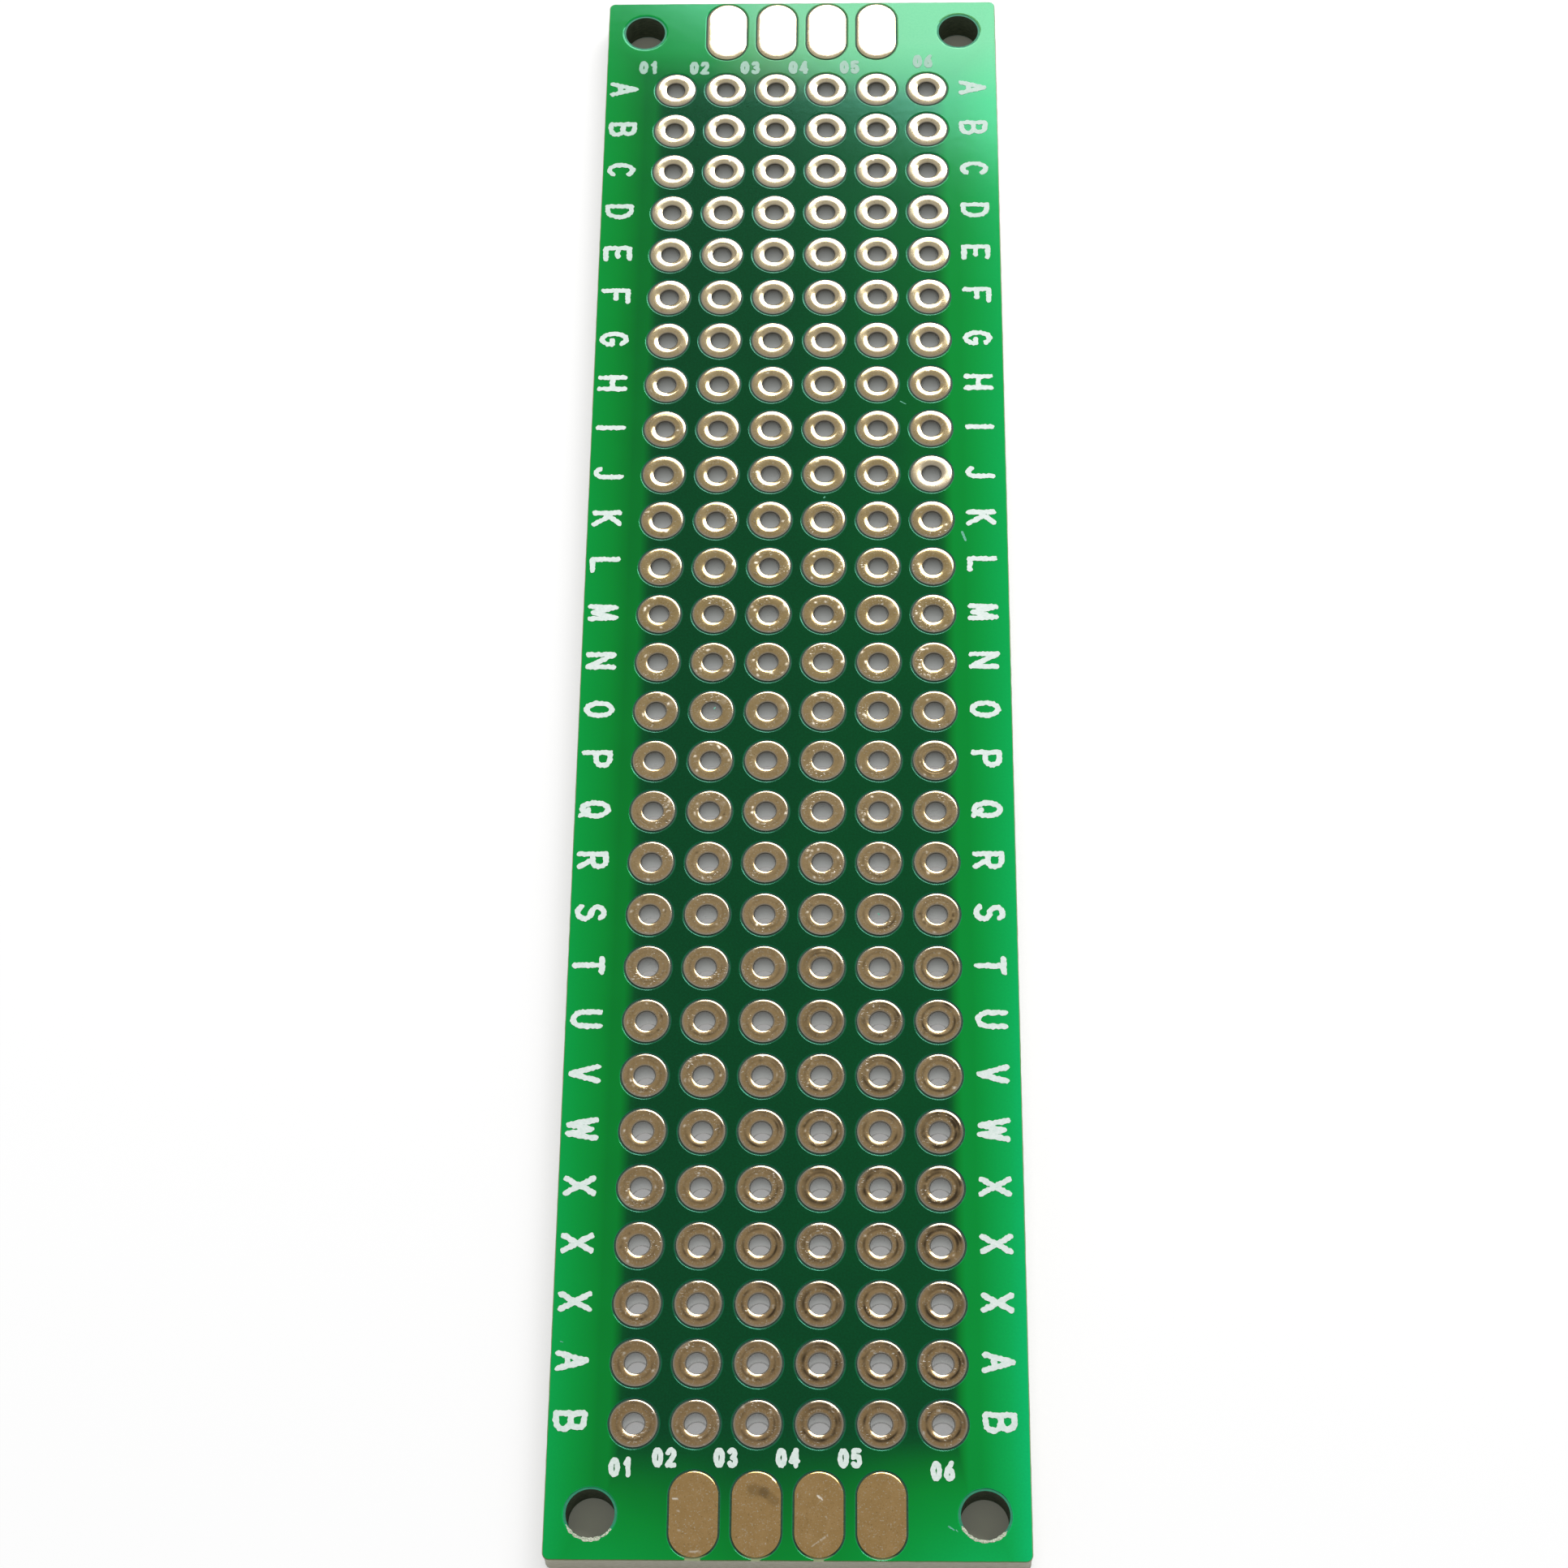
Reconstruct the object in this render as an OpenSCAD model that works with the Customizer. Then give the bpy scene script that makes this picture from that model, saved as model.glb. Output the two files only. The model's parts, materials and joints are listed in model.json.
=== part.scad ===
// Bare prototyping circuit board: a glass-epoxy core with a 2.54 mm grid of plated holes,
// a row of soldered edge pads at each end, solder mask on both faces and four corner holes.
// Millimetres. The board lies flat: X across, Y along its length, Z up through its thickness.
// The origin is at the middle of the board, on the plane that the lower pads rest on.

/* [Board] */
// Width of the board, across its columns
board_w = 19.8; // [16:0.1:40]
// Length of the board, along its rows
board_l = 79.8; // [78.6:0.1:120]
// Thickness of the bare glass-epoxy core
core_t = 1.5; // [0.6:0.1:3.2]
// Radius of the routed corners
corner_r = 0.3; // [0.1:0.05:1.2]

/* [Plated hole grid] */
// Distance between neighbouring holes, both ways
pitch = 2.54; // [2.3:0.01:2.58]
// Number of holes across the board
columns = 6; // [2:2:6]
// Number of rows along the board
rows = 28; // [1:1:28]
// Finished diameter of a plated hole
hole_d = 1.0; // [0.6:0.05:1.3]
// Thickness of the metal that lines a hole
barrel_t = 0.035; // [0.02:0.005:0.1]
// Outer diameter of the round pad about a hole
pad_d = 2.0; // [1.6:0.05:2.3]

/* [Pad metal] */
// Thickness of a pad at its rim, above the core
rim_t = 0.03; // [0.02:0.005:0.07]
// Rise of the solder dome above the rim
dome_h = 0.05; // [0.01:0.005:0.1]

/* [Edge pads] */
// Number of long pads at each end, at most the number of columns
edge_pads = 4; // [2:2:6]
// Width of a long pad, and the diameter of its round ends
edge_pad_w = 2.0; // [1.2:0.05:2.3]
// Overall length of a long pad
edge_pad_l = 3.5; // [2.4:0.1:4]
// Distance from a long pad to the end of the board
edge_pad_inset = 0.15; // [0.15:0.01:0.4]
// Radius of the rounded shoulder round a long pad's face
shoulder_r = 0.04; // [0.01:0.01:0.06]

/* [Corner holes] */
// Diameter of a corner mounting hole, which has no plating
mount_d = 2.0; // [1.6:0.1:3.2]
// Distance from a corner hole's centre to each of the two edges near it
mount_inset = 1.9; // [1.9:0.1:3]

/* [Solder mask] */
// Thickness of the solder mask
mask_t = 0.03; // [0.01:0.005:0.035]
// Gap that the mask leaves round each pad
mask_gap = 0.075; // [0.03:0.005:0.1]
// Width of the bare ring that the mask leaves round each corner hole
mask_ring = 0.1; // [0.05:0.01:0.2]
// Width of the bare border that the mask leaves along the board's edges
mask_border = 0.04; // [0.02:0.01:0.07]

/* [Hidden] */
ROW_NAMES = [for (row = [1 : rows]) str("plated_holes_row_", row < 10 ? "0" : "", row)];

ROUND_FACETS = 48;
// Straight steps along a pad's face from its hole to its rim
DOME_STEPS = 8;
// Power of the dome's curve: 2 is a parabola, and more is flatter on top
DOME_POWER = 2.5;

pad_h = rim_t + dome_h;
core_bottom = pad_h;
core_top = core_bottom + core_t;
mid_z = core_bottom + core_t / 2;

drill_d = hole_d + 2 * barrel_t;
ring_w = (pad_d - hole_d) / 2;

edge_pad_y = board_l / 2 - edge_pad_inset - edge_pad_l / 2;
mount_x = board_w / 2 - mount_inset;
mount_y = board_l / 2 - mount_inset;

// Place of the nth of count things spread evenly about zero at the grid's pitch
function spread(n, count) = (n - (count - 1) / 2) * pitch;

// ---------------------------------------------------------------- flat outlines

// Rectangle with true round corners
module rounded_plate(w, l, r) {
    square([w - 2 * r, l], center = true);
    square([w, l - 2 * r], center = true);
    for (x = [-1, 1], y = [-1, 1])
        translate([x * (w / 2 - r), y * (l / 2 - r)])
            circle(r = r, $fn = ROUND_FACETS);
}

// Slot shape with round ends, long in Y
module slot(w, l) {
    square([w, l - w], center = true);
    for (end = [-1, 1])
        translate([0, end * (l - w) / 2])
            circle(d = w, $fn = ROUND_FACETS);
}

// Puts its children at every corner hole
module at_corner_holes() {
    for (x = [-1, 1], y = [-1, 1])
        translate([x * mount_x, y * mount_y])
            children();
}

// Puts its children at every plated hole of one row, counted from the far end
module at_row(row) {
    for (column = [0 : columns - 1])
        translate([spread(column, columns), -spread(row - 1, rows)])
            children();
}

// Puts its children at every edge pad of one end: 1 is the far end, -1 the near one
module at_edge_pads(end) {
    for (n = [0 : edge_pads - 1])
        translate([spread(n, edge_pads), end * edge_pad_y])
            children();
}

// ---------------------------------------------------------------- core and mask

// Glass-epoxy core, drilled for the plated holes and the corner holes
module core() {
    color([0.72, 0.74, 0.52])
        translate([0, 0, core_bottom])
            linear_extrude(core_t)
                difference() {
                    rounded_plate(board_w, board_l, corner_r);
                    for (row = [1 : rows])
                        at_row(row) circle(d = drill_d, $fn = ROUND_FACETS);
                    at_corner_holes() circle(d = mount_d, $fn = ROUND_FACETS);
                }
}

// One face's film of solder mask, open round every pad and corner hole
module mask_film() {
    linear_extrude(mask_t)
        difference() {
            rounded_plate(board_w - 2 * mask_border, board_l - 2 * mask_border,
                          corner_r - mask_border);
            for (row = [1 : rows])
                at_row(row) circle(d = pad_d + 2 * mask_gap, $fn = ROUND_FACETS);
            for (end = [-1, 1])
                at_edge_pads(end) slot(edge_pad_w + 2 * mask_gap, edge_pad_l + 2 * mask_gap);
            at_corner_holes() circle(d = mount_d + 2 * mask_ring, $fn = ROUND_FACETS);
        }
}

module solder_mask_top() {
    color([0.02, 0.42, 0.17])
        translate([0, 0, core_top])
            mask_film();
}

module solder_mask_bottom() {
    color([0.02, 0.42, 0.17])
        translate([0, 0, core_bottom - mask_t])
            mask_film();
}

// ---------------------------------------------------------------- plated holes

// Height of a pad's face above the core, where share runs from 0 at the hole to 1 at the rim
function face_height(share) = rim_t + dome_h * (1 - pow(abs(2 * share - 1), DOME_POWER));

// Shares of the way across a pad's face, closest together at its two steep edges
function face_share(step) = (1 - cos(180 * step / DOME_STEPS)) / 2;

// Half section of a pad's ring above the core's face: a flat rim under a shallow solder dome
module pad_section() {
    face = [
        for (step = [0 : DOME_STEPS])
            [hole_d / 2 + ring_w * face_share(step), face_height(face_share(step))]
    ];
    polygon(concat([[pad_d / 2, 0], [hole_d / 2, 0]], face));
}

// One plated hole: the barrel that lines the drilled hole, with a domed pad on each face
module plated_hole() {
    translate([0, 0, mid_z])
        rotate_extrude($fn = ROUND_FACETS) {
            translate([hole_d / 2, -core_t / 2])
                square([barrel_t, core_t]);
            translate([0, core_t / 2])
                pad_section();
            mirror([0, 1])
                translate([0, core_t / 2])
                    pad_section();
        }
}

module plated_holes_row(row) {
    color([0.62, 0.52, 0.38])
        at_row(row) plated_hole();
}

// ---------------------------------------------------------------- edge pads

// One long pad, standing on z = 0: a flat face inside a stepped shoulder
module edge_pad() {
    linear_extrude(pad_h - shoulder_r)
        slot(edge_pad_w, edge_pad_l);
    translate([0, 0, pad_h - shoulder_r])
        linear_extrude(shoulder_r)
            slot(edge_pad_w - 2 * shoulder_r, edge_pad_l - 2 * shoulder_r);
}

module edge_pads_top(end) {
    color([0.60, 0.47, 0.32])
        translate([0, 0, core_top])
            at_edge_pads(end) edge_pad();
}

module edge_pads_bottom(end) {
    color([0.60, 0.47, 0.32])
        translate([0, 0, core_bottom])
            mirror([0, 0, 1])
                at_edge_pads(end) edge_pad();
}

// ---------------------------------------------------------------- assembly

core();
solder_mask_top();
solder_mask_bottom();
edge_pads_top(-1);  // edge_pads_top_near
edge_pads_top(1);  // edge_pads_top_far
edge_pads_bottom(-1);  // edge_pads_bottom_near
edge_pads_bottom(1);  // edge_pads_bottom_far
for (row = [1 : rows])
    plated_holes_row(row);
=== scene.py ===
import json
import math
import random

import bmesh
import bpy
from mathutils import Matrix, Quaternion, Vector, noise
from mathutils.geometry import delaunay_2d_cdt


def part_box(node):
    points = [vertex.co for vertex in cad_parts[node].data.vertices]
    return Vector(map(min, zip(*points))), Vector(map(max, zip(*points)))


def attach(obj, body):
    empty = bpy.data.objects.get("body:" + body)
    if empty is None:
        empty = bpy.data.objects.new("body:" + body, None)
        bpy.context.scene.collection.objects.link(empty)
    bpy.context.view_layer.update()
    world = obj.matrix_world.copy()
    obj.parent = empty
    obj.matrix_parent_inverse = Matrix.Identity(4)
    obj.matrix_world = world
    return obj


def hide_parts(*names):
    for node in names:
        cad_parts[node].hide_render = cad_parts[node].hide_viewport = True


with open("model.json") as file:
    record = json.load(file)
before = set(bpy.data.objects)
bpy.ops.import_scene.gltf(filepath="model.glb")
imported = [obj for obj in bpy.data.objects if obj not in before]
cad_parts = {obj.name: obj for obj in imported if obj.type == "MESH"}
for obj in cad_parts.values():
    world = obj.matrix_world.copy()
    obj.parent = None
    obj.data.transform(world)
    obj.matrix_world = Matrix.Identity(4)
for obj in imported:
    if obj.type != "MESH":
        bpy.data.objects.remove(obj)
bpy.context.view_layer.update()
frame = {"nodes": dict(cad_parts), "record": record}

# Looks of the bare prototyping circuit board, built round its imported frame.
# Lengths are in millimetres, as in the part's source, and MM turns them into Blender's metres.
MM = 0.001


# ---------------------------------------------------------------- sizes, from the frame

def node_box(node):
    """Lowest and highest corner of a CAD node, in millimetres."""
    low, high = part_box(node)
    return low / MM, high / MM


ROW_NODES = sorted(name for name in frame["nodes"] if name.startswith("plated_holes_row_"))
COLUMNS = 6
EDGE_PADS = 4

core_low, core_high = node_box("core")
BOARD_W = core_high.x - core_low.x
BOARD_L = core_high.y - core_low.y
CORE_TOP = core_high.z
CORE_BOTTOM = core_low.z
MID_Z = (CORE_TOP + CORE_BOTTOM) / 2

row_low, row_high = node_box(ROW_NODES[0])
PAD_TOP = row_high.z
PAD_H = PAD_TOP - CORE_TOP
PAD_R = round((row_high.y - row_low.y) / 2, 2)
PITCH = round((row_high.x - row_low.x - 2 * PAD_R) / (COLUMNS - 1), 2)
COLUMN_X = [(column - (COLUMNS - 1) / 2) * PITCH for column in range(COLUMNS)]
ROW_Y = [((len(ROW_NODES) - 1) / 2 - row) * PITCH for row in range(len(ROW_NODES))]

edge_low, edge_high = node_box("edge_pads_top_near")
EDGE_PAD_X = [(n - (EDGE_PADS - 1) / 2) * PITCH for n in range(EDGE_PADS)]
EDGE_PAD_R = round((edge_high.x - edge_low.x - (EDGE_PADS - 1) * PITCH) / 2, 2)
EDGE_PAD_L = edge_high.y - edge_low.y
EDGE_PAD_Y = -(edge_low.y + edge_high.y) / 2

mask_low, mask_high = node_box("solder_mask_top")
MASK_T = mask_high.z - mask_low.z
MASK_BORDER = core_high.x - mask_high.x

corner_dims = next(m["dims"] for m in frame["record"]["mounts"] if m["name"] == "corner_holes")
CORNER_HOLE_R = corner_dims["hole_r_mm"]
CORNER_HOLES = [
    (x * corner_dims["spacing_x_mm"] / 2, y * corner_dims["spacing_y_mm"] / 2)
    for x in (-1, 1) for y in (-1, 1)
]

# Sizes of the part's source that the frame's boxes don't give: the plated hole inside and outside its
# barrel, the mask's gap round a pad, its ring round a corner hole, and the board's corners
HOLE_R = 0.5
BARREL_R = 0.535
MASK_GAP = 0.075
MASK_RING = 0.1
BOARD_CORNER_R = 0.3


# ---------------------------------------------------------------- small helpers

def smooth_noise(x, y, z, size):
    """Noise from -1 to 1 whose bumps are about size millimetres across."""
    return noise.noise(Vector((x, y, z)) / size)


def ramp(value, low, high):
    """How far value lies from low to high, held between 0 and 1."""
    return min(1.0, max(0.0, (value - low) / (high - low)))


def circle_points(x, y, r, count, jitter=0.0, seed=0.0):
    """Points round a circle, pushed outwards a little by noise."""
    points = []
    for i in range(count):
        a = 2 * math.pi * i / count
        away = r + jitter * smooth_noise(x + r * math.cos(a), y + r * math.sin(a), seed, 0.35)
        points.append((x + away * math.cos(a), y + away * math.sin(a)))
    return points


def slot_points(x, y, r, length, step, inset=0.0):
    """Points round a slot that is long in Y, at an inset from its outline."""
    straight = length - 2 * r
    side = max(1, round(straight / step))
    arc = max(6, round(math.pi * r / step))
    points = []
    for sign in (1, -1):
        for i in range(arc + 1):
            a = math.pi * i / arc
            points.append((x + sign * (r - inset) * math.cos(a),
                           y + sign * (straight / 2 + (r - inset) * math.sin(a))))
        for i in range(1, side):
            points.append((x - sign * (r - inset), y + sign * straight * (0.5 - i / side)))
    return points


def plate_points(w, l, r, step, jitter=0.0, seed=0.0):
    """Points round a rectangle with rounded corners, pushed inwards a little by noise."""
    corners = [(w / 2 - r, l / 2 - r, 0), (r - w / 2, l / 2 - r, 90),
               (r - w / 2, r - l / 2, 180), (w / 2 - r, r - l / 2, 270)]
    outline = []
    for x, y, start in corners:
        for i in range(7):
            a = math.radians(start + 15 * i)
            outline.append((x + r * math.cos(a), y + r * math.sin(a)))
    points = []
    for here, after in zip(outline, outline[1:] + outline[:1]):
        count = max(1, round(math.dist(here, after) / step))
        for i in range(count):
            x = here[0] + (after[0] - here[0]) * i / count
            y = here[1] + (after[1] - here[1]) * i / count
            inwards = jitter * (0.5 + 0.5 * smooth_noise(x, y, seed, 0.5))
            points.append((x * (1 - inwards / (w / 2)), y * (1 - inwards / (l / 2))))
    return points


def anticlockwise(loop):
    """The loop in the direction that the triangulation takes as solid on its left."""
    area = sum(a[0] * b[1] - b[0] * a[1] for a, b in zip(loop, loop[1:] + loop[:1]))
    return loop if area > 0 else loop[::-1]


def triangulate(loops, tolerance, wanted):
    """Points and triangles inside closed loops, where wanted judges the numbers of the loops round each."""
    loops = [anticlockwise(loop) for loop in loops]
    points = [Vector(p) for loop in loops for p in loop]
    faces, start = [], 0
    for loop in loops:
        faces.append(list(range(start, start + len(loop))))
        start += len(loop)
    flat, _, triangles, _, _, sources = delaunay_2d_cdt(points, [], faces, 0, tolerance, True)
    kept = [t for t, numbers in zip(triangles, sources) if wanted(set(numbers))]
    used = sorted({i for t in kept for i in t})
    place = {old: new for new, old in enumerate(used)}
    return [tuple(flat[i]) for i in used], [[place[i] for i in t] for t in kept]


def flat_mesh(outline, cuts, rings=()):
    """Triangles of an outline less its cuts, with extra loops of points where the surface bends."""
    cut_numbers = set(range(1, 1 + len(cuts)))
    return triangulate((outline, *cuts, *rings), 1e-7,
                       lambda numbers: 0 in numbers and not cut_numbers & numbers)


def boundary_edges(triangles):
    """Directed edges that only one triangle has."""
    edges = {(a, b) for t in triangles for a, b in zip(t, t[1:] + t[:1])}
    return [(a, b) for a, b in edges if (b, a) not in edges]


def closed_faces(triangles, count):
    """Faces of a closed film whose count upper points are followed by as many lower ones."""
    faces = triangles + [[count + i for i in reversed(t)] for t in triangles]
    return faces + [[count + a, count + b, b, a] for a, b in boundary_edges(triangles)]


def add_part(vertices, faces, part_vertices, part_faces):
    """Adds one more closed part to the vertices and faces of a piece."""
    start = len(vertices)
    vertices += part_vertices
    faces += [[start + i for i in face] for face in part_faces]


def add_piece(name, vertices, faces, material, nodes=(), sharp=35, attributes=()):
    """Makes a mesh object from millimetres that rides on the board's one body."""
    mesh = bpy.data.meshes.new(name)
    mesh.from_pydata([Vector(v) * MM for v in vertices], [], faces)
    mesh.polygons.foreach_set("use_smooth", [True] * len(mesh.polygons))
    mesh.set_sharp_from_angle(angle=math.radians(sharp))
    for label, values in attributes:
        mesh.attributes.new(label, "FLOAT", "POINT").data.foreach_set("value", values)
    mesh.materials.append(material)
    mesh.validate()
    piece = bpy.data.objects.new(name, mesh)
    bpy.context.scene.collection.objects.link(piece)
    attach(piece, "root")
    if nodes:
        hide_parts(*nodes)
    return piece


# ---------------------------------------------------------------- materials

class Shader:
    """A material whose nodes are added one call at a time."""

    def __init__(self, name):
        """Starts a material whose place output is the point on the board in millimetres."""
        self.material = bpy.data.materials.new(name)
        self.material.use_nodes = True
        self.tree = self.material.node_tree
        self.principled = self.tree.nodes["Principled BSDF"]
        coordinates = self.tree.nodes.new("ShaderNodeTexCoord")
        self.place = self.add("ShaderNodeVectorMath", coordinates.outputs["Object"],
                              operation="SCALE", Scale=1 / MM)

    def add(self, kind, *inputs, **settings):
        """Adds a node, sets its properties or named inputs, and returns its first output."""
        node = self.tree.nodes.new(kind)
        for key, value in settings.items():
            if hasattr(node, key):
                setattr(node, key, value)
            else:
                self.put(node.inputs[key.replace("_", " ")], value)
        for socket, value in zip(node.inputs, inputs):
            self.put(socket, value)
        return node.outputs[0]

    def put(self, socket, value):
        """Links a socket to another node's output, or sets it to a plain value."""
        if value is None:
            return
        if isinstance(value, bpy.types.NodeSocket):
            self.tree.links.new(value, socket)
        else:
            socket.default_value = value

    def math(self, operation, a, b=0.0, clamp=False):
        """One sum or comparison of two values."""
        return self.add("ShaderNodeMath", a, b, operation=operation, use_clamp=clamp)

    def noise(self, size, detail=2.0, vector=None):
        """Noise from 0 to 1 whose bumps are about size millimetres across."""
        return self.add("ShaderNodeTexNoise", vector or self.place, None, 1 / size, detail)

    def between(self, value, low, high, to_low=0.0, to_high=1.0):
        """Maps low to high onto to_low to to_high, and holds what lies past them."""
        return self.add("ShaderNodeMapRange", value, low, high, to_low, to_high)

    def mix(self, share, a, b, blend="MIX"):
        """Colour that goes from a to b as share goes from 0 to 1."""
        node = self.tree.nodes.new("ShaderNodeMix")
        node.data_type = "RGBA"
        node.blend_type = blend
        for socket, value in zip((node.inputs[0], node.inputs[6], node.inputs[7]), (share, a, b)):
            self.put(socket, value)
        return node.outputs[2]

    def colours(self, value, *stops):
        """A colour ramp from (place, (r, g, b)) stops."""
        node = self.tree.nodes.new("ShaderNodeValToRGB")
        elements = node.color_ramp.elements
        elements[0].position, elements[1].position = stops[0][0], stops[-1][0]
        for position, _ in stops[1:-1]:
            elements.new(position)
        for element, (_, colour) in zip(elements, stops):
            element.color = (*colour, 1)
        self.put(node.inputs[0], value)
        return node.outputs[0]

    def bump(self, height, depth):
        """Bump whose height input of 0 to 1 stands for depth millimetres."""
        previous = self.principled.inputs["Normal"].links
        normal = previous[0].from_socket if previous else None
        return self.add("ShaderNodeBump", 1.0, depth * MM, Height=height, Normal=normal)

    def surface(self, **inputs):
        """Sets or links the named inputs of the material's surface."""
        for key, value in inputs.items():
            self.put(self.principled.inputs[key.replace("_", " ")], value)


def solder_mask_material():
    """Glossy green mask: dark among the pads, and lighter at the margins, where light through the laminate
    is painted in.
    """
    s = Shader("green_mask")
    x = s.add("ShaderNodeSeparateXYZ", s.place)
    y = x.node.outputs[1]
    sideways = s.math("ABSOLUTE", x)
    # Painted light: the lighter green at the margins and ends stands for light let through the laminate,
    # and is painted stronger to the right, towards the near end and a little over the far right.
    beside_pads = s.between(sideways, 6.75, 7.35, 0.0, 0.38)
    across = s.math("MAXIMUM", beside_pads, s.between(sideways, 6.6, BOARD_W / 2))
    near = s.between(y, -34.6, -BOARD_L / 2, 0.0, 0.75)
    near = s.math("MULTIPLY", near, s.between(sideways, 2.0, 7.5, 0.5, 1.0))
    far = s.between(y, 33.9, 37.0, 0.0, 0.8)
    margin = s.math("MAXIMUM", across, s.math("MAXIMUM", near, far))
    right = s.between(x, -2.0, 8.0, 1.0, 1.5)
    gain = s.between(y, -33.0, 20.0, 1.3, 0.8)
    cloud = s.math("MULTIPLY", s.math("SUBTRACT", s.noise(2.4), 0.5), 0.1)
    far_right = s.math("MULTIPLY", s.between(x, -1.0, 6.0), s.between(y, 0.0, 15.0, 0.05, 0.2))
    light = s.math("MULTIPLY", s.math("MULTIPLY", margin, right), gain)
    light = s.math("ADD", light, s.math("ADD", cloud, far_right))
    base = s.colours(s.math("DIVIDE", light, 2.0),
                     (0.0, (0.0, 0.036, 0.002)), (0.06, (0.0, 0.06, 0.004)),
                     (0.195, (0.0, 0.185, 0.010)), (0.29, (0.0, 0.25, 0.018)),
                     (0.46, (0.0, 0.32, 0.035)), (0.75, (0.001, 0.43, 0.08)), (1.0, (0.001, 0.54, 0.155)))
    # Painted reflection: the far end's mask is paled, standing for the window's glare on it.
    painted_glare = s.math("MULTIPLY", s.between(y, 33.5, 37.3, 0.0, 0.28), s.between(x, -4.8, -1.5))
    base = s.mix(painted_glare, base, (0.44, 0.40, 0.28, 1))
    # The lip of each opening is lighter green: partly its thinner film, partly a painted highlight.
    lip = s.add("ShaderNodeAttribute", attribute_name="lip").node.outputs["Fac"]
    base = s.mix(lip, base, (0.002, 0.13, 0.06, 1), "ADD")
    grain = s.noise(0.09, 3.0)
    base = s.mix(s.between(grain, 0.35, 0.75, 0.0, 0.12), base, (0.0, 0.16, 0.05, 1))
    s.surface(Normal=s.bump(s.noise(0.5, 2.0), 0.0008))
    s.surface(Base_Color=base, Roughness=s.between(grain, 0.3, 0.7, 0.085, 0.1))
    s.surface(Specular_IOR_Level=0.6, Specular_Tint=(0.25, 1.0, 0.75, 1))
    return s.material


def pad_material(name, near, flecks):
    """Tinned pad: satin metal, brown at the near end, paler (a painted reflection) and duller at the far
    one, with nicks, and with painted shade round and inside its hole.
    """
    s = Shader(name)
    x = s.add("ShaderNodeSeparateXYZ", s.place)
    y, z = x.node.outputs[1], x.node.outputs[2]
    # Painted reflection: the tin is paler towards the far end, standing for the window that the pads there
    # mirror.
    base = s.colours(s.between(y, -34.0, 26.0), (0.0, near), (0.45, (0.55, 0.39, 0.19)),
                     (0.65, (0.52, 0.38, 0.17)), (0.85, (0.63, 0.49, 0.26)), (1.0, (0.78, 0.66, 0.42)))
    patch = s.noise(0.45, 3.0)
    base = s.mix(s.between(patch, 0.4, 0.75), base, (1.1, 1.12, 1.2, 1), "MULTIPLY")
    grain = s.noise(0.07, 2.0)
    base = s.mix(s.between(grain, 0.60, 0.72, 0.0, 0.7), base, (0.82, 0.74, 0.58, 1))
    base = s.mix(s.between(grain, 0.36, 0.28, 0.0, 0.5), base, (0.22, 0.14, 0.06, 1))
    flat = s.add("ShaderNodeVectorMath", s.place, (0.35, 1.0, 1.0), operation="MULTIPLY")
    fleck = s.between(s.noise(0.055, 2.0, flat), 0.63, 0.68)
    fleck = s.math("MULTIPLY", fleck, s.between(s.noise(1.7), 0.52, 0.6))
    fleck = s.math("MULTIPLY", fleck, s.between(y, 16.0, 8.0, 0.0, flecks))
    base = s.mix(fleck, base, (0.95, 0.90, 0.80, 1))
    # This attribute carries bright nicks above zero; below zero it carries dark specks and painted shade: a
    # dark band round the hole, a shade under the far right rim, and dark lines in the troughs of the
    # ripples.
    wear_and_shade = s.add("ShaderNodeAttribute", attribute_name="wear_and_shade").node.outputs["Fac"]
    base = s.mix(s.math("MULTIPLY", wear_and_shade, 1.0, clamp=True), base, (0.92, 0.86, 0.74, 1))
    base = s.mix(s.math("MULTIPLY", wear_and_shade, -1.0, clamp=True), base, (0.10, 0.07, 0.04, 1))
    # Painted shade: the pad greys and then darkens as it turns down into its hole.
    inside = s.add("ShaderNodeAttribute", attribute_name="inside").node.outputs["Fac"]
    base = s.mix(s.between(inside, 0.1, 0.5, 0.0, 0.75), base, (0.42, 0.37, 0.30, 1))
    base = s.mix(s.between(inside, 0.45, 0.9, 0.0, 0.85), base, (0.17, 0.155, 0.13, 1))
    base = s.mix(s.between(inside, 0.0, -1.0, 0.0, 0.8), base, (0.50, 0.47, 0.42, 1))
    # Painted shade and light: the barrel is dark near the top face and pale lower down.
    barrel = s.colours(s.between(z, CORE_TOP, CORE_BOTTOM), (0.03, (0.08, 0.07, 0.045)),
                       (0.3, (0.36, 0.37, 0.35)), (0.9, (0.88, 0.90, 0.88)))
    base = s.mix(s.between(inside, 0.85, 1.0), base, barrel)
    rough = s.math("ADD", s.between(patch, 0.3, 0.7, 0.13, 0.16), s.between(y, 19.0, 28.0, 0.0, 0.03))
    rough = s.math("ADD", rough, s.math("MULTIPLY", s.math("MAXIMUM", wear_and_shade, fleck), 0.3))
    s.surface(Base_Color=base, Metallic=1.0, Roughness=rough)
    s.surface(Normal=s.bump(s.noise(0.3, 3.0), 0.0008))
    return s.material


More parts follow.
